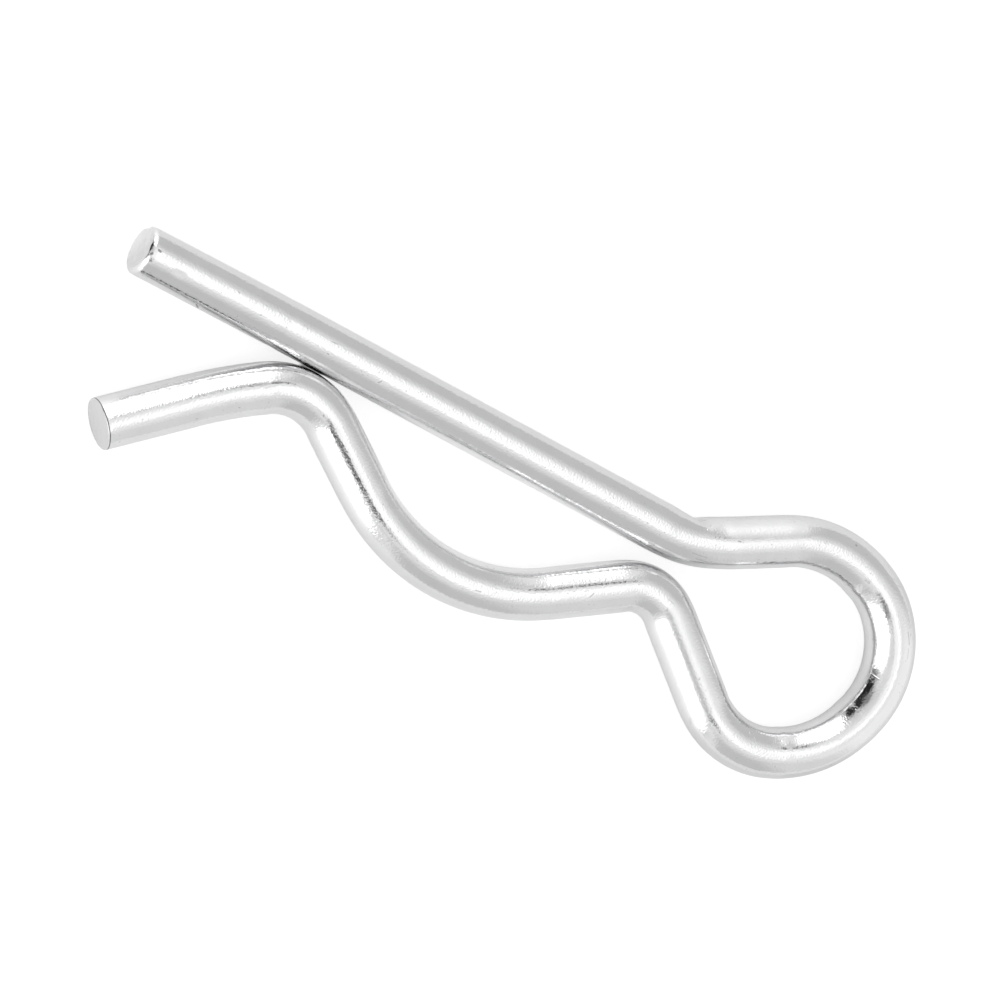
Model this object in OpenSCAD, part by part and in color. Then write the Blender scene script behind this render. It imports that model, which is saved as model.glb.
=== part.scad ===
// R clip: one length of round spring wire, bent flat.
// The straight leg goes through the cross hole of a shaft or hitch pin. The spring leg runs back
// from the eye beside it, rides over the shaft and holds it in the seat between two crests.
// The straight leg lies along X with its free end at -X, and the clip lies flat on Z = 0.
// Sizes are in millimetres and angles in degrees.

/* [Wire] */
// Diameter of the round spring wire
wire_d = 4; // [3:0.1:5]
// How much thinner the wire is drawn in its bends
bend_thinning = 0.03; // [0.02:0.01:0.1]
// Rounding that cropping leaves on the edge of each cut end
end_round = 0.25; // [0.05:0.05:0.6]

/* [Straight leg] */
// Length of the straight leg from its cut end to the eye bend
leg_len = 48.4; // [40:0.1:65]
// Length of the free end that stands a little out of line with the rest of the leg
tip_len = 12.5; // [6:0.5:13]
// Angle of that free end towards the spring leg
tip_set = 0.6; // [0.1:0.1:1.5]

/* [Eye] */
// Inside radius of the bend from the straight leg into the eye
eye_bend_r = 8.5; // [6:0.5:11]
// Turn of that bend, away from the spring leg
eye_bend_turn = 27; // [22:0.5:33]
// Depth of the crease that the bending edge presses into the inside of that bend
crease_depth = 0.35; // [0.1:0.05:0.4]
// Straight wire between that bend and the eye
eye_entry_len = 5.6; // [3:0.1:7]
// Inside radius of the top of the eye
eye_top_r = 7; // [5.8:0.1:8.4]
// Turn over the top of the eye
eye_top_turn = 45; // [37:1:54]
// Inside radius of the far side of the eye
eye_side_r = 5.4; // [4.5:0.1:6.5]
// Turn round the far side of the eye
eye_side_turn = 94; // [80:1:110]
// Inside radius of the foot of the eye
eye_foot_r = 7; // [5.8:0.1:8.4]
// Turn along the foot of the eye
eye_foot_turn = 42; // [35:1:51]
// Inside radius where the eye closes into the neck
eye_throat_r = 4.9; // [3.5:0.1:6]
// Straight wire between one bend of the eye and the next
bend_link_len = 0.4; // [0.3:0.1:1]

/* [Spring leg] */
// Slope of the neck, from the eye up to the inner crest
neck_slope = 38.5; // [32:0.5:46]
// Clear gap between the inner crest and the straight leg
neck_gap = 0.7; // [0.3:0.05:2]
// Inside radius of the inner crest
inner_crest_r = 2; // [1.5:0.1:4]
// Slope from the inner crest down to the shaft seat
seat_fall = 31; // [26:0.5:37]
// Distance from the centreline of the straight leg to the bottom of the shaft seat
seat_depth = 8.8; // [7.3:0.1:10.6]
// Inside radius of the shaft seat
seat_r = 14; // [8:0.5:17]
// Slope from the shaft seat up to the outer crest
seat_rise = 33.5; // [27.5:0.5:40]
// Clear gap between the outer crest and the straight leg
mouth_gap = 0.05; // [0.05:0.05:2]
// Inside radius of the outer crest
outer_crest_r = 3.6; // [2.5:0.1:5]

/* [Tail] */
// Slope of the tail where it leaves the outer crest
tail_slope = 31.5; // [26:0.5:38]
// Further turn of the tail away from the straight leg
flare_turn = 8; // [2:0.5:12]
// Inside radius of that turn
flare_r = 38; // [20:1:50]
// Straight wire from that turn to the cut end of the tail
tail_len = 7.6; // [4:0.1:12]

/* [Hidden] */
$fn = 96;

wire_r = wire_d / 2;

// How far the straight wire laps over the bends at its ends
lap = 0.05;

// The free end meets the rest of the leg in a very wide bend.
tip_set_r = 58;
tip_set_len = (tip_set_r + wire_r) * tip_set * PI / 180;
tip_set_rise = (tip_len - end_round) * sin(tip_set) + drop(tip_set_r, tip_set);

// Heights of the centreline at the crests and the seat, measured from that of the straight leg.
inner_crest_y = -(wire_d + neck_gap);
outer_crest_y = -(wire_d + mouth_gap);
seat_y = -(seat_depth + wire_r);

// The eye turns the wire right round, and its throat takes up what the other bends leave.
eye_throat_turn = 180 + eye_bend_turn + neck_slope - eye_top_turn - eye_side_turn - eye_foot_turn;

// A bend schedule: each row is a straight length, an inside bend radius and a turn.
// A turn above zero bends away from the spring leg, in the sense that runs from +X to +Y.
// It runs between the rounded edges of the two cut ends.
eye_rows = [
    [tip_len - end_round, tip_set_r, -tip_set],
    [leg_len - tip_len - tip_set_len, eye_bend_r, eye_bend_turn],
    [eye_entry_len, eye_top_r, -eye_top_turn],
    [bend_link_len, eye_side_r, -eye_side_turn],
    [bend_link_len, eye_foot_r, -eye_foot_turn],
    [bend_link_len, eye_throat_r, -eye_throat_turn]
];
neck_start = pose_at(eye_rows, len(eye_rows));

// The sloping lengths are what it takes to reach each crest and the seat.
neck_len = (inner_crest_y - neck_start[1] - drop(inner_crest_r, neck_slope)) / sin(neck_slope);
fall_len = (inner_crest_y - seat_y - drop(inner_crest_r, seat_fall) - drop(seat_r, seat_fall))
    / sin(seat_fall);
rise_len = (outer_crest_y - seat_y - drop(seat_r, seat_rise) - drop(outer_crest_r, seat_rise))
    / sin(seat_rise);

rows = concat(eye_rows, [
    [neck_len, inner_crest_r, neck_slope + seat_fall],
    [fall_len, seat_r, -seat_fall - seat_rise],
    [rise_len, outer_crest_r, seat_rise + tail_slope],
    [bend_link_len, flare_r, flare_turn],
    [tail_len - end_round, 0, 0]
]);

// The wedge that presses the crease: half its width, and how much wider it opens than the bend
crease_w = 4;
crease_flank = 4;

// How many parts each bend is looked at in when the reach of the clip is worked out
bend_parts = 24;

// The clip is centred over the origin by the reach of its wire and its cut ends each way.
poses = [for (i = [0 : len(rows) - 1]) each row_poses(rows, i)];
end_poses = [poses[0], poses[len(poses) - 1]];
reach_x = concat(
    [for (p = poses) [p[0], wire_r * abs(sin(p[2]))]],
    [for (p = end_poses) [p[0], (wire_r - end_round) * abs(sin(p[2])) + end_round]]
);
reach_y = concat(
    [for (p = poses) [p[1], wire_r * abs(cos(p[2]))]],
    [for (p = end_poses) [p[1], (wire_r - end_round) * abs(cos(p[2])) + end_round]]
);

// The middle of a list of positions, each with how far the wire reaches either side of it.
function middle(list) = (min([for (r = list) r[0] - r[1]]) + max([for (r = list) r[0] + r[1]])) / 2;

// Height that a bend with this inside radius takes up while it turns from level to a slope.
function drop(inside_r, slope) = (inside_r + wire_r) * (1 - cos(slope));

// Where the centreline is, as x, y and heading, when a pose has moved along a straight and a bend.
function moved(pose, length, inside_r, turn) =
    let (
        rm = sign(turn) * (inside_r + wire_r),
        x = length + rm * sin(turn),
        y = rm * (1 - cos(turn)),
        h = pose[2]
    )
    [pose[0] + x * cos(h) - y * sin(h), pose[1] + x * sin(h) + y * cos(h), h + turn];

// The pose at the start of row n.
function pose_at(list, n) =
    n == 0 ? [0, -tip_set_rise, tip_set]
    : moved(pose_at(list, n - 1), list[n - 1][0], list[n - 1][1], list[n - 1][2]);

// Poses along row n: its start, then points round its bend.
function row_poses(list, n) =
    let (start = pose_at(list, n), row = list[n])
    concat([start], [for (k = [0 : bend_parts]) moved(start, row[0], row[1], row[2] * k / bend_parts)]);

// A straight length of wire along +X, from one x to another.
module straight(from, to) {
    translate([from, 0, 0]) rotate([0, 90, 0]) cylinder(d = wire_d, h = to - from);
}

// A bend from the origin, heading along +X at its start.
module bend(inside_r, turn) {
    rm = inside_r + wire_r;
    mirror([0, turn < 0 ? 1 : 0, 0])
        translate([0, rm, 0])
            rotate([0, 0, -90])
                rotate_extrude(angle = abs(turn))
                    translate([rm, 0]) circle(d = wire_d - bend_thinning);
}

// The rounded edge of a cut end, which faces -X and meets the wire at the origin.
module cropped_end() {
    rotate([0, -90, 0])
        rotate_extrude()
            intersection() {
                square([wire_r, end_round]);
                union() {
                    square([wire_r - end_round, end_round]);
                    translate([wire_r - end_round, 0]) circle(r = end_round);
                }
            }
}

// One row of the schedule, from its start at the origin: a straight length, then a bend.
// The first and last rows have a cropped end.
module run(n) {
    row = rows[n];
    first = n == 0;
    last = n == len(rows) - 1;
    straight(first ? 0 : -lap, last ? row[0] : row[0] + lap);
    if (first) cropped_end();
    if (last) translate([row[0], 0, 0]) rotate([0, 0, 180]) cropped_end();
    else translate([row[0], 0, 0]) bend(row[1], row[2]);
}

// The wedge that creases the inside of the eye bend, with its edge on the middle of the bend.
module crease() {
    start = moved(pose_at(rows, 1), rows[1][0], 0, 0);
    edge_y = -(eye_bend_r + crease_depth);
    flank = eye_bend_turn / 2 + crease_flank;
    top_y = edge_y + crease_w * tan(flank);
    translate([start[0], start[1], 0])
        rotate([0, 0, start[2]])
            translate([0, eye_bend_r + wire_r, -wire_d])
                rotate([0, 0, eye_bend_turn / 2])
                    linear_extrude(height = 2 * wire_d)
                        polygon([[0, edge_y], [crease_w, top_y], [-crease_w, top_y]]);
}

module r_clip() {
    color([0.80, 0.81, 0.82])
        translate([-middle(reach_x), -middle(reach_y), wire_r])
            difference() {
                union() {
                    for (n = [0 : len(rows) - 1])
                        let (pose = pose_at(rows, n))
                            translate([pose[0], pose[1], 0]) rotate([0, 0, pose[2]]) run(n);
                }
                crease();
            }
}

r_clip();
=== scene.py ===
"""Bright R clip on a pale studio table: one bent wire, its cropped ends, tool marks and plating."""

from math import atan2, ceil, cos, degrees, pi, radians, sin

import bmesh
import bpy
from mathutils import Matrix, Vector, noise


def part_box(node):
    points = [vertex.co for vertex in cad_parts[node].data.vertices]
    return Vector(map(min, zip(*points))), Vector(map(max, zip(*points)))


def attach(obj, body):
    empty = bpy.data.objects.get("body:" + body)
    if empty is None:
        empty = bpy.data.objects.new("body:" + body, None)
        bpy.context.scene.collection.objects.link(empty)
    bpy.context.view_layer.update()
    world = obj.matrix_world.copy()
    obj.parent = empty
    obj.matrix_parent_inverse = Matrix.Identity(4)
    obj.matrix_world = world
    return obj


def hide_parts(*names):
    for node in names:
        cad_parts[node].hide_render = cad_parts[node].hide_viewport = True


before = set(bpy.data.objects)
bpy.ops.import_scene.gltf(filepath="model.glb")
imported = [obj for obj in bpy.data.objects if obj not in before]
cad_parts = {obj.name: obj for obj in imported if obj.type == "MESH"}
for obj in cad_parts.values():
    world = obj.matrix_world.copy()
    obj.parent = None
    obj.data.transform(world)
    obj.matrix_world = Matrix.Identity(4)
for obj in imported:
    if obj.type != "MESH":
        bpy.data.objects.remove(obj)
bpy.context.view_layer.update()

MM = 0.001

# ---------------------------------------------------------------- the wire and its bends
WIRE_R = 2.0 * MM
LEG_ROLL = 0.50 * MM
TAIL_ROLL = 0.09 * MM
TIP_LEN = 12.5 * MM
TIP_SET = radians(0.6)
TIP_SET_R = 60 * MM
LEG_LEN = 48.4 * MM
EYE_BEND_R = 10.5 * MM
EYE_BEND_TURN = radians(27)
EYE_ENTRY_LEN = 5.6 * MM
BEND_LINK_LEN = 0.4 * MM
EYE_TOP_R, EYE_TOP_TURN = 9.0 * MM, radians(45)
EYE_SIDE_R, EYE_SIDE_TURN = 7.4 * MM, radians(94)
EYE_FOOT_R, EYE_FOOT_TURN = 9.0 * MM, radians(42)
EYE_THROAT_R = 6.9 * MM
NECK_SLOPE = radians(38.5)
NECK_GAP = 0.7 * MM
INNER_CREST_R = 4.0 * MM
SEAT_FALL = radians(31)
SEAT_DEPTH = 8.8 * MM
SEAT_R = 16 * MM
SEAT_RISE = radians(33.5)
MOUTH_GAP = 0.015 * MM
OUTER_CREST_R = 5.6 * MM
TAIL_SLOPE = radians(31.5)
FLARE_R, FLARE_TURN = 40 * MM, radians(8)
TAIL_LEN = 7.5 * MM

# How finely the wire is meshed: round it, along its straights and along its bends
AROUND = 96
STRAIGHT_STEP = 0.24 * MM
BEND_STEP = 0.15 * MM
WELD = 0.0005 * MM


def rise(radius, slope):
    """How far a bend climbs across the clip while it turns from level to a slope."""
    return radius * (1 - cos(slope))


def moved(pose, length, radius, turn):
    """Where the wire's centreline is after a straight and a bend, as x, y and heading."""
    x, y, heading = pose
    signed_r = radius if turn > 0 else -radius
    dx = length + signed_r * sin(turn)
    dy = signed_r * (1 - cos(turn))
    return (
        x + dx * cos(heading) - dy * sin(heading),
        y + dx * sin(heading) + dy * cos(heading),
        heading + turn,
    )


def bend_schedule():
    """The start pose, and a straight length, a centreline radius and a turn for each stretch."""
    set_len = TIP_SET_R * TIP_SET
    start = (0, -(TIP_LEN - LEG_ROLL) * sin(TIP_SET) - rise(TIP_SET_R, TIP_SET), TIP_SET)
    throat_turn = pi + EYE_BEND_TURN + NECK_SLOPE - EYE_TOP_TURN - EYE_SIDE_TURN - EYE_FOOT_TURN
    rows = [
        (TIP_LEN - LEG_ROLL, TIP_SET_R, -TIP_SET),
        (LEG_LEN - TIP_LEN - set_len, EYE_BEND_R, EYE_BEND_TURN),
        (EYE_ENTRY_LEN, EYE_TOP_R, -EYE_TOP_TURN),
        (BEND_LINK_LEN, EYE_SIDE_R, -EYE_SIDE_TURN),
        (BEND_LINK_LEN, EYE_FOOT_R, -EYE_FOOT_TURN),
        (BEND_LINK_LEN, EYE_THROAT_R, -throat_turn),
    ]
    pose = start
    for row in rows:
        pose = moved(pose, *row)
    inner_y = -(2 * WIRE_R + NECK_GAP)
    outer_y = -(2 * WIRE_R + MOUTH_GAP)
    seat_y = -(SEAT_DEPTH + WIRE_R)
    neck = (inner_y - pose[1] - rise(INNER_CREST_R, NECK_SLOPE)) / sin(NECK_SLOPE)
    fall = (inner_y - seat_y - rise(INNER_CREST_R + SEAT_R, SEAT_FALL)) / sin(SEAT_FALL)
    climb = (outer_y - seat_y - rise(SEAT_R + OUTER_CREST_R, SEAT_RISE)) / sin(SEAT_RISE)
    rows += [
        (neck, INNER_CREST_R, NECK_SLOPE + SEAT_FALL),
        (fall, SEAT_R, -SEAT_FALL - SEAT_RISE),
        (climb, OUTER_CREST_R, SEAT_RISE + TAIL_SLOPE),
        (BEND_LINK_LEN, FLARE_R, FLARE_TURN),
        (TAIL_LEN - TAIL_ROLL, 0, 0),
    ]
    return start, rows


def on_centreline(pose):
    """The point on the wire's centreline, and the directions along the wire and to its left."""
    x, y, heading = pose
    ahead = Vector((cos(heading), sin(heading), 0))
    left = Vector((-ahead.y, ahead.x, 0))
    return Vector((x, y, WIRE_R)), ahead, left


def grow(bm, edges, step):
    """Draws a ring of edges out by one step and gives the new points and edges."""
    grown = bmesh.ops.extrude_edge_only(bm, edges=edges)["geom"]
    points = {g for g in grown if isinstance(g, bmesh.types.BMVert)}
    new_edges = [g for g in grown if isinstance(g, bmesh.types.BMEdge)]
    bmesh.ops.translate(bm, vec=step, verts=list(points))
    return list(points), [edge for edge in new_edges if points.issuperset(edge.verts)]


def new_ring(pose):
    """A new mesh with one ring across the wire, and the two layers that every point of it fills.

    The first says where the point was on the straight blank before bending: how far along the
    wire, and how far across and up from its centreline. The second says which way is out.
    """
    bm = bmesh.new()
    bm.verts.layers.float_vector.new("blank")
    bm.verts.layers.float_vector.new("out")
    bmesh.ops.create_circle(bm, segments=AROUND, radius=WIRE_R)
    x, y, heading = pose
    stand = Matrix.Translation((x, y, WIRE_R)) @ Matrix.Rotation(heading, 4, "Z")
    bmesh.ops.transform(bm, matrix=stand @ Matrix.Rotation(pi / 2, 4, "Y"), verts=bm.verts[:])
    return bm


def fill_layers(bm, where):
    """Fills a stretch's two layers from a function of the point."""
    blank = bm.verts.layers.float_vector["blank"]
    out = bm.verts.layers.float_vector["out"]
    for point in bm.verts:
        point[blank], point[out] = where(point)


def straight_stretch(pose, along, length):
    """A straight, drawn out ring by ring."""
    bm = new_ring(pose)
    origin, ahead, left = on_centreline(pose)
    steps = max(1, ceil(length / STRAIGHT_STEP))
    edges = bm.edges[:]
    for _ in range(steps):
        _, edges = grow(bm, edges, ahead * (length / steps))

    def where(point):
        offset = point.co - origin
        across, up = offset.dot(left), offset.z
        out = left * across + Vector((0, 0, up))
        return (along + offset.dot(ahead), across, up), out.normalized()

    fill_layers(bm, where)
    return bm


def bent_stretch(pose, along, radius, turn):
    """A bend, spun about its centre; a turn above 0 goes to the left."""
    bm = new_ring(pose)
    start, _, left = on_centreline(pose)
    sign = 1 if turn > 0 else -1
    centre = start + sign * radius * left
    spoke = -sign * left
    steps = max(2, ceil(radius * abs(turn) / BEND_STEP))
    bmesh.ops.spin(
        bm, geom=bm.edges[:], cent=centre, axis=(0, 0, 1), angle=turn, steps=steps,
        use_duplicate=False,
    )

    def where(point):
        offset = point.co - centre
        flat = Vector((offset.x, offset.y, 0))
        angle = atan2(spoke.cross(flat).z, spoke.dot(flat)) * sign
        across = sign * (radius - flat.length)
        out = -sign * flat.normalized() * across + Vector((0, 0, offset.z))
        return (along + radius * angle, across, offset.z), out.normalized()

    fill_layers(bm, where)
    return bm


# Rings in the rolled edge of a cut end, and in its flat face
ROLL_PARTS = 8
FACE_RINGS = 12
# A facet whose middle is past this share of the roll's reach belongs to the cut face
FACE_FROM = 0.98


def cropped_end(pose, along, facing, roll):
    """Rolls the edge over and closes the cut face in rings, for the shear marks."""
    bm = new_ring(pose)
    centre, ahead, left = on_centreline(pose)
    outward = facing * ahead
    profile = []
    for k in range(1, ROLL_PARTS + 1):
        angle = pi / 2 * k / ROLL_PARTS
        profile.append((roll * sin(angle), WIRE_R - roll * (1 - cos(angle))))
    face_r = WIRE_R - roll
    profile += [(roll, face_r * (1 - k / FACE_RINGS)) for k in range(1, FACE_RINGS)]
    depth, ring_r = 0, WIRE_R
    edges = bm.edges[:]
    for new_depth, new_r in profile:
        points, edges = grow(bm, edges, outward * (new_depth - depth))
        space = Matrix.Translation(-centre - outward * new_depth)
        bmesh.ops.scale(bm, vec=(new_r / ring_r,) * 3, space=space, verts=points)
        depth, ring_r = new_depth, new_r
    hub = bmesh.ops.contextual_create(bm, geom=edges)["faces"]
    bmesh.ops.poke(bm, faces=hub)
    for face in bm.faces:
        if (face.calc_center_median() - centre).dot(outward) > roll * FACE_FROM:
            face.material_index = 1

    def where(point):
        offset = point.co - centre
        reach = offset.dot(outward)
        rim = offset - outward * reach
        inward = min(1, reach / roll)
        out = rim.normalized() * (1 - inward) + outward * inward
        return (along + facing * reach, offset.dot(left), offset.z), out.normalized()

    fill_layers(bm, where)
    return bm


def add_stretch(whole, bm):
    """Moves a stretch into the whole wire."""
    part = bpy.data.meshes.new("stretch")
    bm.to_mesh(part)
    bm.free()
    whole.from_mesh(part)
    bpy.data.meshes.remove(part)


def wire_mesh():
    """The stretches welded into one closed skin, where the bends are, and the wire's length."""
    pose, rows = bend_schedule()
    whole = bmesh.new()
    bends = []
    along = LEG_ROLL
    add_stretch(whole, cropped_end(pose, along, -1, LEG_ROLL))
    for length, radius, turn in rows:
        if length > 0:
            add_stretch(whole, straight_stretch(pose, along, length))
            pose = moved(pose, length, 0, 0)
            along += length
        if turn:
            add_stretch(whole, bent_stretch(pose, along, radius, turn))
            pose = moved(pose, 0, radius, turn)
            bends.append((along, along + radius * abs(turn), radius))
            along += radius * abs(turn)
    add_stretch(whole, cropped_end(pose, along, 1, TAIL_ROLL))
    bmesh.ops.remove_doubles(whole, verts=whole.verts[:], dist=WELD)
    bmesh.ops.recalc_face_normals(whole, faces=whole.faces[:])
    return whole, bends, along + TAIL_ROLL


def lay_on_cad(bm):
    """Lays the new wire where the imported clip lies, by the eye's two outer sides."""
    _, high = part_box("r_clip")
    corner = Vector((max(v.co.x for v in bm.verts), max(v.co.y for v in bm.verts), 0))
    target = Vector((high.x + BEND_DRAWN, high.y + BEND_DRAWN, 0))
    bmesh.ops.translate(bm, vec=target - corner, verts=bm.verts[:])


# ---------------------------------------------------------------- wear, dents and the crease
# How far a bend's surface lies inside that of the straight wire, and over what length it gets there
BEND_DRAWN = 0.015 * MM
BEND_BLEND = 1.2 * MM
# A bend is flattened inside and outside by this area over its radius
BEND_FLAT = 0.13 * MM * MM
# The wire's slight waviness, finer and shallower on the straights than in the bends
WAVE_FINE, WAVE_FINE_SIZE, WAVE_FINE_STRETCH = 0.0025 * MM, 1.1 * MM, 2.5
WAVE_BEND, WAVE_BEND_SIZE = 0.005 * MM, 3.0 * MM

# The bending edge's crease on the inside of the eye's first bend: its place along the wire, how
# it leans per degree round the wire and up to where, its depth, the slope of its flanks, the
# rounding at its bottom and lip, how far round it goes in degrees, and where it fades out
CREASE_AT = 50.35 * MM
CREASE_SLANT = 0.018 * MM
CREASE_SLANT_END = 45
CREASE_DEPTH = 0.36 * MM
CREASE_FLANK = 0.3153
CREASE_SOFT = 0.10 * MM
CREASE_TOP = 62
CREASE_LIP = 0.05 * MM
CREASE_FADE = 1.2 * MM
CREASE_REACH = 3 * MM
# The eye's first bend doesn't stop dead: it eases into its straight over this reach, and the
# wire comes back to its line over the fade. The bends are counted from 0.
EASE_BEND = 1
EASE_REACH = 1.6 * MM
EASE_FADE = 5 * MM

# Dents: the place along the wire in mm and round it in degrees, the half length and half width
# in mm, the turn in degrees and the depth in mm
DENTS = [
    (3.05, 104, 0.80, 0.36, 0, 0.030),
    (51.5, 46, 0.30, 0.62, 24, 0.045),
    (51.9, 30, 0.5, 0.5, 0, 0.02),
    (101.9, 22, 0.95, 0.26, -18, 0.020),
    (89.3, 108, 0.75, 0.45, 20, 0.006),
    (50.9, 128, 1.2, 0.6, 10, 0.008),
    (135.8, 103, 0.14, 0.5, 10, 0.008),
    (127.1, 122, 0.22, 0.22, 0, 0.010),
    (5.95, 160, 0.20, 0.35, 20, 0.020),
]

# How uneven the cut ends' edges are: how deep, how far from the end and how coarse. Then the
# same for their faces, which reach over the whole end.
LEG_EDGE_WEAR, LEG_EDGE_REACH, LEG_EDGE_SIZE = 0.09 * MM, 0.9 * MM, 0.8 * MM
TAIL_EDGE_WEAR, TAIL_EDGE_REACH, TAIL_EDGE_SIZE = 0.035 * MM, 0.35 * MM, 0.6 * MM
FACE_UNEVEN, FACE_UNEVEN_SIZE = 0.03 * MM, 1.3 * MM
# A point this share of the roll from the very end, or nearer, is on the cut face
FACE_SHARE = 0.1


def hill(share):
    """A smooth hill: 1 in the middle, 0 from 1 outwards."""
    return (1 - share * share) ** 2 if abs(share) < 1 else 0


def ramp(share):
    """A smooth step from 0 at 0 to 1 at 1."""
    share = min(1, max(0, share))
    return share * share * (3 - 2 * share)


def wave(place, size, stretch=1.0):
    """Even noise between 0 and 1 on the blank, drawn out along the wire by the stretch."""
    at = Vector((place[0] / stretch, place[1], place[2])) / size
    return 0.5 + 0.5 * noise.noise(at)


def in_bends(along, bends):
    """How deep in a bend a place is, and the tightness of that bend."""
    share, tight = 0, 0
    for start, end, radius in bends:
        inside = min(along - start, end - along)
        here = ramp(0.5 + inside / BEND_BLEND)
        share = max(share, here)
        tight = max(tight, here / radius)
    return share, tight


def crease_depth(along, around):
    """The wedge-shaped crease, rounded at its bottom and fading out up the side."""
    if abs(around) > CREASE_TOP or abs(along - CREASE_AT) > CREASE_REACH:
        return 0
    slant = CREASE_SLANT * min(CREASE_SLANT_END, max(0, around))
    away = abs(along - CREASE_AT - slant) * (EYE_BEND_R - WIRE_R) / EYE_BEND_R
    away = (away * away + CREASE_SOFT * CREASE_SOFT) ** 0.5 - CREASE_SOFT * 0.5
    arc = away * away / (2 * (EYE_BEND_R - WIRE_R))
    deep = CREASE_DEPTH - CREASE_FLANK * away + arc
    deep = 0.5 * (deep + (deep * deep + CREASE_LIP * CREASE_LIP) ** 0.5)
    fade = 1 - ramp((away - CREASE_FADE) / (CREASE_REACH - CREASE_FADE))
    return deep * fade * hill(around / CREASE_TOP)


def ease_shift(past_end):
    """How far the wire runs wide of its line where the eye's first bend eases into the straight."""
    share = min(1, max(-1, past_end / EASE_REACH))
    wide = (share + 1) ** 3 / 12 if share < 0 else 1 / 6 - (1 - share) ** 3 / 12
    fade = 1 - ramp((past_end - EASE_REACH) / EASE_FADE)
    return wide * fade * EASE_REACH * EASE_REACH / EYE_BEND_R


def dent_depth(along, around):
    """How deep all the dents together are at a place."""
    depth = 0
    for at, degrees_round, half_length, half_width, turn, deep in DENTS:
        x = along / MM - at
        if abs(x) > half_length + half_width:
            continue
        y = radians(around - degrees_round) * WIRE_R / MM
        turn_cos, turn_sin = cos(radians(turn)), sin(radians(turn))
        lengthways = (x * turn_cos + y * turn_sin) / half_length
        crossways = (y * turn_cos - x * turn_sin) / half_width
        depth += deep * MM * hill((lengthways * lengthways + crossways * crossways) ** 0.5)
    return depth


def wear_wire(bm, bends, length):
    """Moves the points in: drawn bends, waviness, crease, dents and worn edges."""
    blank = bm.verts.layers.float_vector["blank"]
    out = bm.verts.layers.float_vector["out"]
    _, ease_end, _ = bends[EASE_BEND]
    for point in bm.verts:
        place = point[blank]
        along = place[0]
        around = degrees(atan2(place[2], place[1]))
        sideways = place[1] / WIRE_R
        bent, tight = in_bends(along, bends)
        depth = BEND_DRAWN * bent + BEND_FLAT * tight * sideways * sideways
        depth += WAVE_FINE * wave(place, WAVE_FINE_SIZE, WAVE_FINE_STRETCH)
        depth += WAVE_BEND * bent * wave(place, WAVE_BEND_SIZE)
        depth += crease_depth(along, around) + dent_depth(along, around)
        depth += sideways * ease_shift(along - ease_end)
        edge = hill(along / LEG_EDGE_REACH)
        depth += LEG_EDGE_WEAR * edge * wave(place, LEG_EDGE_SIZE)
        edge = hill((length - along) / TAIL_EDGE_REACH)
        depth += TAIL_EDGE_WEAR * edge * wave(place, TAIL_EDGE_SIZE)
        if along < LEG_ROLL * FACE_SHARE or length - along < TAIL_ROLL * FACE_SHARE:
            depth += FACE_UNEVEN * wave(place, FACE_UNEVEN_SIZE)
        point.co -= Vector(point[out]) * depth


# ---------------------------------------------------------------- materials
def fill_inputs(tree, node, inputs):
    """Links each input to another node's output, or sets it."""
    for key, value in inputs.items():
        if isinstance(value, bpy.types.NodeSocket):
            tree.links.new(value, node.inputs[key])
        else:
            node.inputs[key].default_value = value


def add_node(tree, kind, inputs=None, **settings):
    """Places a node with its settings and fills its inputs."""
    node = tree.nodes.new(kind)
    for key, value in settings.items():
        setattr(node, key, value)
    fill_inputs(tree, node, inputs or {})
    return node


def set_group(tree, name, inputs):
    """Places a node group and gives its outputs."""
    node = add_node(tree, "ShaderNodeGroup", node_tree=bpy.data.node_groups[name])
    fill_inputs(tree, node, inputs)
    return node.outputs


def new_group(name, inputs, outputs):
    """A new node group, with the ends that its inputs come from and its outputs go to."""
    tree = bpy.data.node_groups.new(name, "ShaderNodeTree")
    for in_out, sockets in (("INPUT", inputs), ("OUTPUT", outputs)):
        for socket, kind in sockets.items():
            tree.interface.new_socket(name=socket, in_out=in_out, socket_type=f"NodeSocket{kind}")
    given = tree.nodes.new("NodeGroupInput").outputs
    result = tree.nodes.new("NodeGroupOutput").inputs
    return tree, given, result


def calc(tree, operation, *values, clamp=False):
    """One step of arithmetic."""
    inputs = dict(enumerate(values))
    return add_node(tree, "ShaderNodeMath", inputs, operation=operation, use_clamp=clamp).outputs[0]


def vector_calc(tree, operation, *values, output="Vector"):
    """One step of arithmetic on places or directions."""
    inputs = dict(enumerate(values))
    return add_node(tree, "ShaderNodeVectorMath", inputs, operation=operation).outputs[output]


def scaled(tree, vector, scale):
    """A place or direction made longer or shorter."""
    inputs = {0: vector, "Scale": scale}
    return add_node(tree, "ShaderNodeVectorMath", inputs, operation="SCALE").outputs["Vector"]


def part_of(tree, vector, index):
    """The x, y or z of a place, or the red, green or blue of a colour, as 0, 1 or 2."""
    return add_node(tree, "ShaderNodeSeparateXYZ", {0: vector}).outputs[index]


def remap(tree, value, low, high, at_low=1.0, at_high=0.0, smooth=False):
    """Carries a value over from one range to another; a smooth one eases at both ends."""
    inputs = {"Value": value, "From Min": low, "From Max": high, "To Min": at_low, "To Max": at_high}
    kind = "SMOOTHSTEP" if smooth else "LINEAR"
    return add_node(tree, "ShaderNodeMapRange", inputs, interpolation_type=kind).outputs[0]


def noise_on(tree, place, scale, detail, rough=0.5):
    """Noise between 0 and 1 at a place."""
    inputs = {"Vector": place, "Scale": scale, "Detail": detail, "Roughness": rough}
    return add_node(tree, "ShaderNodeTexNoise", inputs).outputs[0]


def mix_value(tree, share, first, second):
    """The first value where the share is 0, and the second where it is 1."""
    inputs = {"Factor": share, "A": first, "B": second}
    return add_node(tree, "ShaderNodeMix", inputs, data_type="FLOAT").outputs["Result"]


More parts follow.
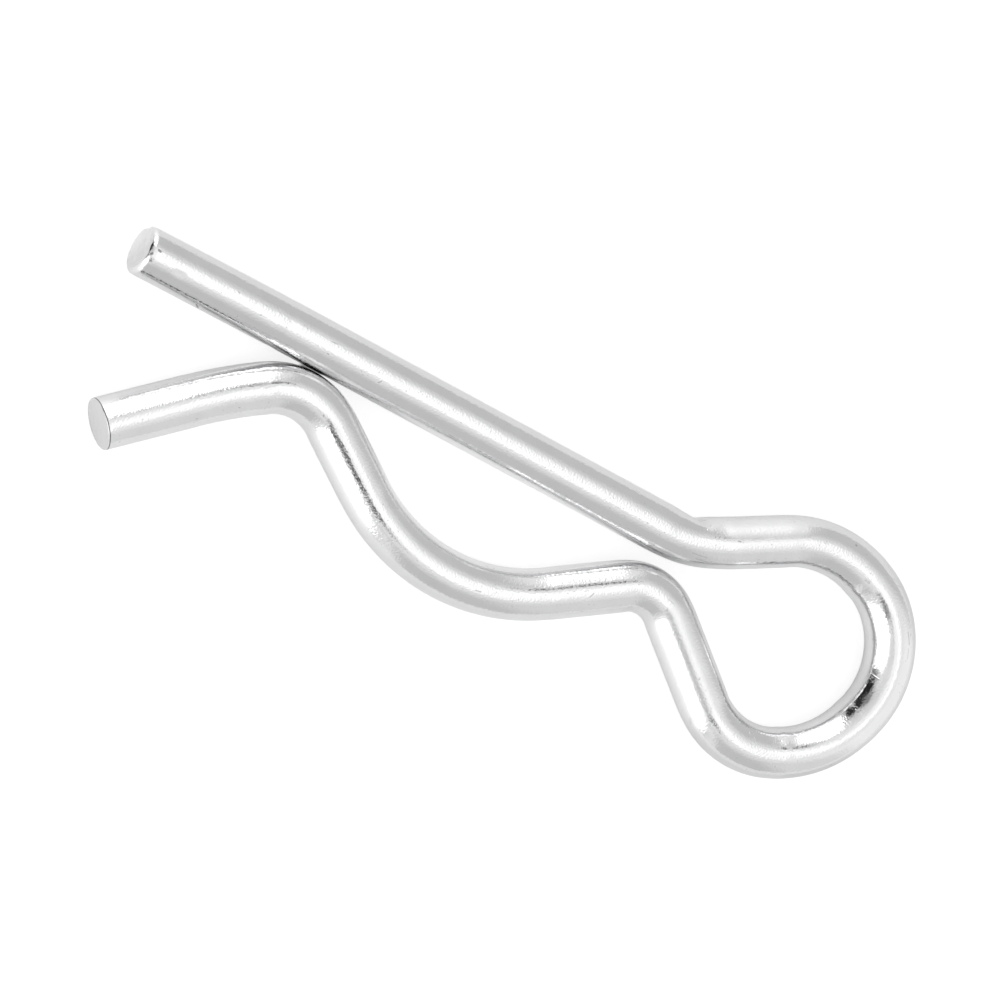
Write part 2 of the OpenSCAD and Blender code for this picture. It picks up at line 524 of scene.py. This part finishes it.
# Which of a mix's sockets are its two colours and its resulting colour
MIX_FIRST, MIX_SECOND, MIX_RESULT = 6, 7, 2


def mix_colour(tree, share, first, second):
    """The first colour where the share is 0, and the second where it is 1."""
    inputs = {"Factor": share, MIX_FIRST: first, MIX_SECOND: second}
    return add_node(tree, "ShaderNodeMix", inputs, data_type="RGBA").outputs[MIX_RESULT]


def grey(value):
    return (value, value, value, 1)


def new_material(name):
    """A new material, its nodes and its shader."""
    material = bpy.data.materials.new(name)
    material.use_nodes = True
    tree = material.node_tree
    return material, tree, tree.nodes["Principled BSDF"]


# Too little to move a stroke's place, and the least square of a stroke's length
HAND_ON = 1e-9
SHORTEST = 1e-6


def soft_stroke_group():
    """One soft stroke between two places or directions, as a mask.

    It hands the place on, so that a long row of strokes is worked out one after another.
    """
    tree, given, result = new_group(
        "soft_stroke",
        {"Place": "Vector", "From": "Vector", "To": "Vector", "Inner": "Float", "Outer": "Float"},
        {"Mask": "Float", "Place": "Vector"},
    )
    length = vector_calc(tree, "SUBTRACT", given["To"], given["From"])
    reach = vector_calc(tree, "SUBTRACT", given["Place"], given["From"])
    passed = vector_calc(tree, "DOT_PRODUCT", reach, length, output="Value")
    squared = vector_calc(tree, "DOT_PRODUCT", length, length, output="Value")
    squared = calc(tree, "MAXIMUM", squared, SHORTEST)
    step = scaled(tree, length, calc(tree, "DIVIDE", passed, squared, clamp=True))
    gap = vector_calc(tree, "DISTANCE", reach, step, output="Value")
    mask = remap(tree, gap, given["Inner"], given["Outer"], smooth=True)
    handed_on = vector_calc(tree, "MULTIPLY_ADD", mask, (HAND_ON,) * 3, given["Place"])
    tree.links.new(mask, result["Mask"])
    tree.links.new(handed_on, result["Place"])


def soft_stroke(tree, place, start, end, inner, outer):
    """A stroke from start to end, full as far as inner and gone at outer: its mask and the place."""
    inputs = {"Place": place, "From": start, "To": end, "Inner": inner, "Outer": outer}
    stroke = set_group(tree, "soft_stroke", inputs)
    return stroke["Mask"], stroke["Place"]


# The plating's fine unevenness, in noise cells a mm: its grain, the lines drawn along the wire,
# and its faint cloudiness
GRAIN_SCALE, GRAIN_DETAIL = 6.0, 1.5
LINE_SCALE, LINE_DETAIL, LINE_ROUGH, LINE_STRETCH = 5.5, 2.0, 0.6, 0.06
CLOUD_SCALE, CLOUD_DETAIL, CLOUD_ROUGH = 0.55, 3.0, 0.6
# Pits: cells a mm, the share of cells without one, the widest, how much of it is flat, and the
# least width that a cell works with
PIT_SCALE, PIT_NONE, PIT_WIDEST, PIT_FLAT, PIT_LEAST = 0.85, 0.45, 0.11, 0.3, 0.001
# Specks, smaller and in crowds: cells a mm, from where to where they fade, how few there are,
# how strong they are beside a pit, and the size of the crowds
SPECK_SCALE, SPECK_INNER, SPECK_OUTER = 2.6, 0.05, 0.17
SPECK_FEW, SPECK_STRENGTH, CROWD_SCALE = 0.12, 0.7, 0.35


def grain_group():
    """The fine unevenness of the plating: grain, lines along the wire, pits and specks.

    Its input is the place on the blank in mm. It puts out a height, a mask of the pits and a
    faint cloudiness.
    """
    tree, given, result = new_group(
        "plating_grain",
        {"Blank": "Vector", "Grain": "Float", "Lines": "Float", "Pits": "Float"},
        {"Height": "Float", "Pit": "Float", "Cloud": "Float"},
    )
    blank = given["Blank"]
    fine = noise_on(tree, blank, GRAIN_SCALE, GRAIN_DETAIL)
    drawn = {"Vector": blank, "Scale": (LINE_STRETCH, 1, 1)}
    drawn = add_node(tree, "ShaderNodeMapping", drawn).outputs[0]
    lines = noise_on(tree, drawn, LINE_SCALE, LINE_DETAIL, LINE_ROUGH)

    cells = {"Vector": blank, "Scale": PIT_SCALE, "Randomness": 1.0}
    spots = add_node(tree, "ShaderNodeTexVoronoi", cells).outputs
    chance = part_of(tree, spots["Color"], 0)
    reach = remap(tree, chance, PIT_NONE, 1.0, 0.0, PIT_WIDEST)
    flat = calc(tree, "MULTIPLY", reach, PIT_FLAT)
    pit = remap(tree, spots["Distance"], flat, calc(tree, "MAXIMUM", reach, PIT_LEAST), smooth=True)
    pit = calc(tree, "MULTIPLY", pit, calc(tree, "GREATER_THAN", chance, PIT_NONE))

    cells = {"Vector": blank, "Scale": SPECK_SCALE, "Randomness": 1.0}
    specks = add_node(tree, "ShaderNodeTexVoronoi", cells).outputs
    chance = part_of(tree, specks["Color"], 1)
    crowd = noise_on(tree, blank, CROWD_SCALE, 1.0)
    speck = remap(tree, specks["Distance"], SPECK_INNER, SPECK_OUTER, smooth=True)
    crowded = calc(tree, "LESS_THAN", calc(tree, "ADD", chance, SPECK_FEW), crowd)
    speck = calc(tree, "MULTIPLY", speck, crowded)
    pit = calc(tree, "MAXIMUM", pit, calc(tree, "MULTIPLY", speck, SPECK_STRENGTH))

    height = calc(tree, "MULTIPLY", fine, given["Grain"])
    height = calc(tree, "ADD", height, calc(tree, "MULTIPLY", lines, given["Lines"]))
    height = calc(tree, "SUBTRACT", height, calc(tree, "MULTIPLY", pit, given["Pits"]))
    cloud = noise_on(tree, blank, CLOUD_SCALE, CLOUD_DETAIL, CLOUD_ROUGH)
    tree.links.new(height, result["Height"])
    tree.links.new(pit, result["Pit"])
    tree.links.new(cloud, result["Cloud"])


# Marks in the plating, and strokes of painted shade: from and to as mm along the wire and degrees
# round it, the half width in mm, how deep and how dark. A mark less than 0 deep stands proud.
MARKS_AND_PAINTED_SHADE = [
    ((5.8, 155), (6.1, 165), 0.10, 1.0, 0.5),
    ((0.75, 79), (0.9, 80), 0.12, 0.8, 0.7),
    ((0.2, 96), (0.35, 92), 0.14, 0.8, 0.8),
    ((0.5, 108), (0.6, 107), 0.09, 0.8, 0.7),
    ((7.9, 79), (8.0, 80), 0.05, 0.8, 0.4),
    # Painted shade where the two legs touch, on the leg and then on the crest: colour only, no depth
    ((16.2, 173), (17.3, 173), 0.46, 0.0, 0.95),
    ((138.2, 176), (141.8, 180), 0.50, 0.0, 0.55),
    ((8.8, 128), (8.9, 129), 0.05, 0.8, 0.2),
    ((16.5, 107), (16.6, 107), 0.06, 1.0, 0.4),
    ((16.4, 79), (16.9, 78), 0.04, 1.0, 0.3),
    ((19.6, 105), (19.6, 105), 0.05, 1.0, 0.4),
    ((20.2, 107), (20.2, 107), 0.05, 1.0, 0.4),
    ((20.6, 107), (20.6, 107), 0.04, 1.0, 0.4),
    ((21.2, 110), (21.4, 104), 0.05, 1.0, 0.4),
    ((24.6, 83), (24.6, 83), 0.05, 1.0, 0.3),
    ((27.6, 84), (27.6, 84), 0.05, 1.0, 0.3),
    # A shallow groove along the crease, darkened with painted shade
    ((50.6, 30), (51.5, 19), 0.06, 0.6, 0.25),
    ((51.25, 57), (51.6, 42), 0.08, -1.6, 0.0),
    ((50.4, 118), (51.6, 122), 0.07, 0.7, 0.15),
    ((50.9, 130), (52.0, 136), 0.08, 0.7, 0.15),
    ((53.9, 79), (54.1, 81), 0.06, 1.0, 0.5),
    ((54.25, 82), (54.3, 83), 0.06, -1.0, 0.0),
    ((67.1, 61), (67.8, 43), 0.05, 0.5, 0.1),
    ((67.7, 61), (68.1, 47), 0.05, 0.5, 0.1),
    ((70.2, 62), (70.4, 60), 0.06, 0.8, 0.2),
    ((71.1, 69), (72.0, 67), 0.05, 0.8, 0.3),
    ((71.3, 60), (71.4, 62), 0.04, 0.8, 0.2),
    ((72.3, 69), (73.0, 69), 0.04, 0.8, 0.2),
    ((75.1, 125), (74.9, 146), 0.07, 0.9, 0.0),
    ((88.7, 107), (89.0, 116), 0.05, -1.0, 0.0),
    ((89.5, 119), (89.6, 122), 0.05, -1.0, 0.0),
    ((86.3, 125), (86.6, 124), 0.08, 0.5, 0.15),
    ((93.1, 22), (93.4, 28), 0.14, 0.4, 0.12),
    ((93.0, 78), (93.0, 78), 0.05, 1.0, 0.3),
    ((93.6, 83), (93.7, 83), 0.04, 1.0, 0.3),
    ((94.5, 79), (94.6, 79), 0.05, 1.0, 0.4),
    ((95.1, 86), (95.1, 86), 0.04, 1.0, 0.3),
    ((95.6, 77), (95.7, 77), 0.05, 1.0, 0.3),
    ((96.1, 83), (96.2, 84), 0.05, 1.0, 0.3),
    ((96.8, 78), (96.9, 78), 0.04, 1.0, 0.3),
    ((102.3, 97), (102.9, 95), 0.05, 0.7, 0.1),
    ((105.0, 133), (105.1, 134), 0.06, -1.0, 0.0),
    ((109.2, 90), (109.5, 83), 0.05, 0.9, 0.3),
    ((109.6, 97), (109.9, 96), 0.04, 0.8, 0.2),
    ((109.9, 47), (110.1, 50), 0.06, 0.5, 0.1),
    ((115.3, 84), (115.3, 84), 0.05, 1.0, 0.3),
    ((117.2, 92), (117.2, 92), 0.04, 1.0, 0.2),
    ((118.4, 84), (118.9, 83), 0.04, 1.0, 0.2),
    ((118.6, 132), (119.9, 130), 0.05, -0.8, 0.0),
    ((145.3, 62), (145.4, 63), 0.06, 1.0, 0.4),
    ((148.8, 58), (148.9, 58), 0.06, 1.0, 0.4),
    ((147.3, 20), (147.5, 90), 0.03, 0.4, 0.0),
]
# Scuffed and hazy patches: from and to as for the marks, the half width in mm and how rough
SCUFFS = [
    ((2.7, 104), (3.4, 103), 0.28, 0.30),
    ((94.0, 74), (101.5, 82), 1.0, 0.16),
    ((53.8, 48), (58.8, 50), 1.2, 0.22),
    ((51.0, 124), (52.0, 128), 0.5, 0.12),
    ((124.5, 100), (128.0, 112), 0.9, 0.08),
    ((5.9, 157), (6.1, 166), 0.15, 0.25),
]
# From what share of its half width to what share a mark or a scuff fades
MARK_INNER, MARK_OUTER = 0.3, 1.2
SCUFF_INNER, SCUFF_OUTER = 0.5, 1.5

# The thin line of painted shade along the burr round the tail's cut edge: in mm before the end,
# half as wide, the noise that makes it wider and narrower, how much of that and on top of what,
# and how dark it is
BURR_AT, BURR_HALF_WIDTH = 0.11, 0.06
BURR_SCALE, BURR_VARIES, BURR_LEAST, BURR_SHADE = 2.0, 3.0, 0.5, 0.8

# The plating's relief: how strong its grain, lines, pits and marks are beside each other, and
# the height that 1 of them stands for
PLATE_GRAIN = {"Grain": 2.0, "Lines": 0.7, "Pits": 1.4}
MARK_RELIEF = 2.2
PLATE_RELIEF = 0.006 * MM
# Its tints where it is cloudy, clear and darkest, how dark a pit is, and how rough it all is
PIT_DARK = 0.35
PLATE_DULL, PLATE_BRIGHT = (0.755, 0.755, 0.76, 1), (0.845, 0.845, 0.85, 1)
# The darkest tint: dirt in the pits and marks, and painted shade where the legs touch, in the crease
# and along the burr
PLATE_DIRT_AND_SHADE = 0.10
PLATE_ROUGHNESS, DIRT_AND_SHADE_ROUGHNESS = 0.085, 0.3


def on_blank(along, around):
    """A mark's place on the blank, in mm."""
    radius = WIRE_R / MM
    return (along, radius * cos(radians(around)), radius * sin(radians(around)))


def blank_place(tree):
    """Where a point was on the straight blank before bending, in mm."""
    metres = add_node(tree, "ShaderNodeAttribute", attribute_name="blank").outputs["Vector"]
    return scaled(tree, metres, 1 / MM)


def finish_metal(tree, shader, colour, roughness, height, relief):
    """Links a metal's colour, roughness and relief to its shader."""
    bump = add_node(tree, "ShaderNodeBump", {"Height": height, "Strength": 1.0, "Distance": relief})
    shader.inputs["Metallic"].default_value = 1
    tree.links.new(colour, shader.inputs["Base Color"])
    tree.links.new(roughness, shader.inputs["Roughness"])
    tree.links.new(bump.outputs[0], shader.inputs["Normal"])


def burr_shade_mask(tree, blank, length):
    """The uneven line of painted shade along the burr round the tail's cut edge."""
    from_burr = calc(tree, "SUBTRACT", part_of(tree, blank, 0), length / MM - BURR_AT)
    burr_shade = remap(tree, calc(tree, "ABSOLUTE", from_burr), 0.0, BURR_HALF_WIDTH)
    ragged = noise_on(tree, blank, BURR_SCALE, 2.0)
    ragged = calc(tree, "MULTIPLY_ADD", ragged, BURR_VARIES, BURR_LEAST)
    return calc(tree, "MULTIPLY", burr_shade, ragged)


def plated_wire(length):
    """Bright plating with its grain, the marks and the strokes of painted shade one by one, the
    painted shade along the burr and the scuffed patches.
    """
    material, tree, shader = new_material("plated_wire")
    blank = blank_place(tree)
    grain = set_group(tree, "plating_grain", {"Blank": blank} | PLATE_GRAIN)
    height = grain["Height"]
    dark = calc(tree, "MULTIPLY", grain["Pit"], PIT_DARK)
    place = blank
    for start, end, half_width, deep, darkness in MARKS_AND_PAINTED_SHADE:
        mark, place = soft_stroke(
            tree, place, on_blank(*start), on_blank(*end),
            half_width * MARK_INNER, half_width * MARK_OUTER,
        )
        height = calc(tree, "SUBTRACT", height, calc(tree, "MULTIPLY", mark, MARK_RELIEF * deep))
        if darkness:
            dark = calc(tree, "MAXIMUM", dark, calc(tree, "MULTIPLY", mark, darkness))
    # Painted shade along the burr at the tail's cut edge
    burr_shade = calc(tree, "MULTIPLY", burr_shade_mask(tree, blank, length), BURR_SHADE, clamp=True)
    dark = calc(tree, "MAXIMUM", dark, burr_shade)
    cloud = mix_colour(tree, grain["Cloud"], PLATE_DULL, PLATE_BRIGHT)
    # Darkens to dirt in pits and marks, and to painted shade at the legs' contact, the crease and
    # the burr
    tint = mix_colour(tree, dark, cloud, grey(PLATE_DIRT_AND_SHADE))
    roughness = calc(tree, "ADD", calc(tree, "MULTIPLY", dark, DIRT_AND_SHADE_ROUGHNESS), PLATE_ROUGHNESS)
    for start, end, half_width, rough in SCUFFS:
        scuff, place = soft_stroke(
            tree, place, on_blank(*start), on_blank(*end),
            half_width * SCUFF_INNER, half_width * SCUFF_OUTER,
        )
        roughness = calc(tree, "ADD", roughness, calc(tree, "MULTIPLY", scuff, rough))
    finish_metal(tree, shader, tint, roughness, height, PLATE_RELIEF)
    return material


# The cut faces: how the shear lines lie across them, the size of the lines and of the grain in
# cells a mm and their shares of the relief, the tints, and the roughness from grain to grain
SHEAR_TURN, SHEAR_STRETCH = radians(28), 0.25
SHEAR_SCALE, SHEAR_SHARE = 4.5, 0.7
CUT_SCALE, CUT_SHARE, CUT_DETAIL = 6.0, 0.5, 3.0
CUT_RELIEF = 0.02 * MM
CUT_DARK, CUT_LIGHT = grey(0.72), grey(0.80)
# The leg's face, which is all that lies within this many mm of the wire's start, is one tint
LEG_FACE_WITHIN, LEG_FACE_TINT = 1.0, grey(0.78)
CUT_GRAIN_FROM, CUT_GRAIN_TO = 0.3, 0.7
CUT_SMOOTHEST, CUT_ROUGHEST = 0.30, 0.48


def cropped_face():
    """The sheared steel of a cut end: duller, with fine shear lines across it."""
    material, tree, shader = new_material("cropped_face")
    blank = blank_place(tree)
    sheared = {"Vector": blank, "Rotation": (SHEAR_TURN, 0, 0), "Scale": (1, SHEAR_STRETCH, 1)}
    sheared = add_node(tree, "ShaderNodeMapping", sheared).outputs[0]
    lines = noise_on(tree, sheared, SHEAR_SCALE, CUT_DETAIL)
    grain = noise_on(tree, blank, CUT_SCALE, CUT_DETAIL)
    relief = calc(tree, "MULTIPLY", lines, SHEAR_SHARE)
    height = calc(tree, "ADD", relief, calc(tree, "MULTIPLY", grain, CUT_SHARE))
    leg_end = calc(tree, "LESS_THAN", part_of(tree, blank, 0), LEG_FACE_WITHIN)
    tint = mix_colour(tree, lines, CUT_DARK, CUT_LIGHT)
    tint = mix_colour(tree, leg_end, tint, LEG_FACE_TINT)
    roughness = remap(tree, grain, CUT_GRAIN_FROM, CUT_GRAIN_TO, CUT_SMOOTHEST, CUT_ROUGHEST)
    finish_metal(tree, shader, tint, roughness, height, CUT_RELIEF)
    return material


# ---------------------------------------------------------------- the studio
def direction(azimuth, elevation):
    """Where a bearing points: degrees round from X, and degrees up."""
    a, e = radians(azimuth), radians(elevation)
    return Vector((cos(a) * cos(e), sin(a) * cos(e), sin(e)))


def soft_edge_group():
    """The glow over a softbox's cloth: even, with rounded corners and a soft edge."""
    tree, given, result = new_group(
        "soft_edge",
        {"Width": "Float", "Height": "Float", "Corner": "Float", "Softness": "Float"},
        {"Glow": "Float"},
    )
    cloth = tree.nodes.new("ShaderNodeNewGeometry").outputs["Parametric"]
    place = add_node(tree, "ShaderNodeSeparateXYZ", {0: cloth})
    over = []
    for k, size in enumerate(("Width", "Height")):
        share = calc(tree, "ABSOLUTE", calc(tree, "SUBTRACT", place.outputs[k], 0.5))
        inner = calc(tree, "SUBTRACT", calc(tree, "MULTIPLY", given[size], 0.5), given["Corner"])
        over.append(calc(tree, "SUBTRACT", calc(tree, "MULTIPLY", share, given[size]), inner))
    outside = {k: calc(tree, "MAXIMUM", value, 0.0) for k, value in enumerate(over)}
    outside = add_node(tree, "ShaderNodeCombineXYZ", outside).outputs[0]
    away = vector_calc(tree, "LENGTH", outside, output="Value")
    inside = calc(tree, "MINIMUM", calc(tree, "MAXIMUM", *over), 0.0)
    edge = calc(tree, "SUBTRACT", calc(tree, "ADD", away, inside), given["Corner"])
    soft_from = calc(tree, "MULTIPLY", given["Softness"], -1)
    tree.links.new(remap(tree, edge, soft_from, 0.0, smooth=True), result["Glow"])


# Softboxes: the azimuth that each stands square to, and its left, right, bottom and top edges as
# shares of its distance
SOFTBOXES = {
    "front_softbox": (229, -0.76, 0.78, -0.1, 1.83),
    "back_softbox": (62, 0.61, 3.35, 0.0, 2.45),
}
SOFTBOX_DISTANCE = 1.0
# The cloth's brightness, where 1 is white, and its rounded corners and soft edge in metres
SOFTBOX_GLOW, SOFTBOX_CORNER, SOFTBOX_EDGE = 1.35, 0.35, 0.12


def softbox(name, square_to, left, right, bottom, top):
    """A rectangular lamp that stands upright, square to one direction."""
    width, height = (right - left) * SOFTBOX_DISTANCE, (top - bottom) * SOFTBOX_DISTANCE
    data = bpy.data.lights.new(name, "AREA")
    data.shape = "RECTANGLE"
    data.size = width
    data.size_y = height
    data.energy = SOFTBOX_GLOW * pi * width * height
    data.use_nodes = True
    tree = data.node_tree
    glow = set_group(
        tree, "soft_edge",
        {"Width": width, "Height": height, "Corner": SOFTBOX_CORNER, "Softness": SOFTBOX_EDGE},
    )["Glow"]
    tree.links.new(glow, tree.nodes["Emission"].inputs["Strength"])
    out = direction(square_to, 0)
    side = Vector((-out.y, out.x, 0))
    middle = out + side * (left + right) / 2 + Vector((0, 0, (bottom + top) / 2))
    lamp = bpy.data.objects.new(name, data)
    lamp.location = middle * SOFTBOX_DISTANCE
    lamp.rotation_euler = (-out).to_track_quat("-Z", "Y").to_euler()
    lamp.visible_camera = False
    bpy.context.scene.collection.objects.link(lamp)


# Strokes of light and dark in the room: from and to as azimuth and elevation, the half width
# and the softness of the edge in degrees, and the brightness
ROOM_STROKES = [
    ((2, 30), (2, 4), 24, 22, 1.05),
    ((330, 30), (330, 4), 12, 14, 0.80),
    ((272, 40), (272, 2), 5, 8, 0.95),
    ((40, 0), (92, 0), 5, 2, 0.95),
    ((90, 34), (90, -2), 7, 12, 0.96),
    ((150, 66), (150, 60), 14, 26, 0.72),
    ((230, 74), (200, 70), 12, 14, 0.86),
    ((350, 78), (350, 76), 14, 14, 1.12),
    ((336, 65), (44, 64), 5.5, 9, 1.35),
    ((155, 46), (160, 20), 9, 8, 0.25),
    ((145, 30), (157, 6), 9, 2.5, 0.03),
    ((152, 4), (176, 3), 7.5, 2.5, 0.01),
    ((172, 4), (172, 27), 9.5, 2.5, 0.02),
    ((190, 26), (190, -4), 3.5, 2, 0.10),
    ((130, 48), (138, 34), 1.6, 1.2, 0.02),
    ((178, 54), (184, -2), 1.0, 1.2, 1.30),
    ((258, 60), (268, 60), 1.6, 1.6, 0.06),
    ((268, 60), (300, 68.5), 2.8, 2.2, 0.02),
    ((284, 68), (262, 76.5), 0.8, 1.2, 0.25),
    ((262, 76.5), (238, 85), 0.6, 1.2, 0.45),
    ((78, 60), (92, 56), 2.6, 3, 0.70),
    ((91, 43.5), (100, 45), 4.0, 1.5, 1.35),
    ((95.5, 38), (97.5, 24), 3.4, 1.5, 1.35),
    ((290, 60), (296, 61.5), 1.2, 1.2, 0.05),
    ((72, 53.5), (80, 55), 2.2, 1.8, 0.04),
]
# The room brightens from its lower half to its upper half between these two elevations
ROOM_LOW, ROOM_HIGH = radians(34), radians(68)
ROOM_LOW_LIGHT, ROOM_HIGH_LIGHT = 0.63, 0.97


def studio_world():
    """A pale room, its upper half lighter, with reflectors, gaps between softboxes and a corner."""
    world = bpy.data.worlds.new("studio_room")
    bpy.context.scene.world = world
    world.use_nodes = True
    tree = world.node_tree
    background = tree.nodes["Background"]
    look = add_node(tree, "ShaderNodeTexCoord").outputs["Generated"]
    light = remap(
        tree, part_of(tree, look, 2), sin(ROOM_LOW), sin(ROOM_HIGH),
        ROOM_LOW_LIGHT, ROOM_HIGH_LIGHT, smooth=True,
    )
    for start, end, half_width, softness, brightness in ROOM_STROKES:
        mask, _ = soft_stroke(
            tree, look, direction(*start), direction(*end),
            radians(half_width - softness / 2), radians(half_width + softness / 2),
        )
        light = mix_value(tree, mask, light, brightness)
    seen = add_node(tree, "ShaderNodeLightPath").outputs["Is Camera Ray"]
    tree.links.new(mix_value(tree, seen, light, 1.0), background.inputs["Strength"])
    background.inputs["Color"].default_value = (1, 1, 1, 1)


# Pools of light and shade painted on the table, seen only in the metal: from and to as x and y,
# the half width and the softness of the edge in mm, and the brightness added
PAINTED_TABLE_LIGHT = [
    ((-34, 5.2), (12, 5.2), 3.0, 1.8, 0.36),
    ((8, -1.2), (-7, -2.2), 3.4, 2.0, 0.18),
    ((42, 9), (42, -8), 9.0, 6.0, -0.10),
    ((38, -10), (24, -14), 5.0, 4.0, -0.08),
]
# A shadow painted on the table where the two legs touch, as nearly no light gets in between
# them: from and to as x and y, and where the painted shadow starts and stops fading, in mm
CONTACT_SHADOW_FROM, CONTACT_SHADOW_TO, CONTACT_SHADOW_INNER, CONTACT_SHADOW_OUTER = (-19.3, 1.75), (-18.1, 1.75), 0.15, 0.65
TABLE_SIZE = 2.0
# The table's own glow and tint, in the metal and to the camera
GLOW_IN_METAL, GLOW_TO_CAMERA = 0.10, 0.77
TINT_IN_METAL, TINT_TO_CAMERA, TINT_IN_CONTACT_SHADOW = grey(0.76), grey(0.32), grey(0.02)


def table_place(x, y):
    """A place on the table, from mm."""
    return (x * MM, y * MM, 0)


def white_table():
    """White to the camera and in the metal, less the clip's soft shadow; with pools of light and
    shade painted on it for the metal, and a shadow painted where the two legs touch.
    """
    material, tree, shader = new_material("white_table")
    path = add_node(tree, "ShaderNodeLightPath").outputs
    to_camera = path["Is Camera Ray"]
    mirrored = calc(tree, "MAXIMUM", path["Is Glossy Ray"], path["Is Transmission Ray"])
    place = add_node(tree, "ShaderNodeTexCoord").outputs["Object"]
    glow = calc(
        tree, "ADD", calc(tree, "MULTIPLY", mirrored, GLOW_IN_METAL),
        calc(tree, "MULTIPLY", to_camera, GLOW_TO_CAMERA),
    )
    # Painted pools of light and shade, seen only in the metal
    for start, end, half_width, softness, brightness in PAINTED_TABLE_LIGHT:
        painted_pool, _ = soft_stroke(
            tree, place, table_place(*start), table_place(*end),
            (half_width - softness / 2) * MM, (half_width + softness / 2) * MM,
        )
        painted_pool = calc(tree, "MULTIPLY", painted_pool, brightness)
        glow = calc(tree, "ADD", glow, calc(tree, "MULTIPLY", painted_pool, mirrored))
    # The painted shadow where the two legs touch, to the camera and in the metal
    contact_shadow, _ = soft_stroke(
        tree, place, table_place(*CONTACT_SHADOW_FROM), table_place(*CONTACT_SHADOW_TO),
        CONTACT_SHADOW_INNER * MM, CONTACT_SHADOW_OUTER * MM,
    )
    glow = calc(tree, "MULTIPLY", glow, calc(tree, "SUBTRACT", 1.0, contact_shadow))
    tint = mix_colour(tree, to_camera, TINT_IN_METAL, TINT_TO_CAMERA)
    tint = mix_colour(tree, contact_shadow, tint, TINT_IN_CONTACT_SHADOW)
    tree.links.new(tint, shader.inputs["Base Color"])
    tree.links.new(glow, shader.inputs["Emission Color"])
    shader.inputs["Emission Strength"].default_value = 1
    shader.inputs["Roughness"].default_value = 0.35
    shader.inputs["IOR"].default_value = 1.5
    return material


def table_top():
    """The table that the clip lies on."""
    bm = bmesh.new()
    bmesh.ops.create_grid(bm, x_segments=1, y_segments=1, size=TABLE_SIZE)
    mesh = bpy.data.meshes.new("table_top")
    bm.to_mesh(mesh)
    bm.free()
    table = bpy.data.objects.new("table_top", mesh)
    bpy.context.scene.collection.objects.link(table)
    table.data.materials.append(white_table())


# The camera looks down on the clip, leaning back towards its open end
CAMERA_DISTANCE = 0.85
CAMERA_LEAN = radians(24.5)
CAMERA_SIDE = radians(189.17)
CAMERA_TURN = radians(27.37)
CAMERA_TARGET = Vector((-0.093, 0.158, 0)) * MM
CAMERA_LENS, CAMERA_SENSOR = 407.3, 36
CAMERA_NEAR, CAMERA_FAR = 0.01, 20


def camera():
    """The camera, and the scene set to use it."""
    data = bpy.data.cameras.new("camera")
    data.lens = CAMERA_LENS
    data.sensor_width = CAMERA_SENSOR
    data.clip_start = CAMERA_NEAR
    data.clip_end = CAMERA_FAR
    lean_axis = Vector((-sin(CAMERA_SIDE), cos(CAMERA_SIDE), 0))
    turn = Matrix.Rotation(CAMERA_LEAN, 4, lean_axis) @ Matrix.Rotation(CAMERA_TURN, 4, "Z")
    back = Matrix.Translation((0, 0, CAMERA_DISTANCE))
    made = bpy.data.objects.new("camera", data)
    made.matrix_world = Matrix.Translation(CAMERA_TARGET) @ turn @ back
    bpy.context.scene.collection.objects.link(made)
    bpy.context.scene.camera = made


# ---------------------------------------------------------------- putting it together
def bent_wire():
    """The worn and plated clip."""
    wire, bends, length = wire_mesh()
    lay_on_cad(wire)
    wear_wire(wire, bends, length)
    mesh = bpy.data.meshes.new("bent_wire")
    wire.verts.layers.float_vector.remove(wire.verts.layers.float_vector["out"])
    wire.to_mesh(mesh)
    wire.free()
    for face in mesh.polygons:
        face.use_smooth = True
    made = bpy.data.objects.new("bent_wire", mesh)
    bpy.context.scene.collection.objects.link(made)
    made.data.materials.append(plated_wire(length))
    made.data.materials.append(cropped_face())
    return made


soft_stroke_group()
grain_group()
soft_edge_group()

clip = bent_wire()
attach(clip, "root")
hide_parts("r_clip")

for lamp_name, lamp_edges in SOFTBOXES.items():
    softbox(lamp_name, *lamp_edges)
studio_world()
table_top()
camera()
bpy.context.scene.view_settings.view_transform = "Standard"
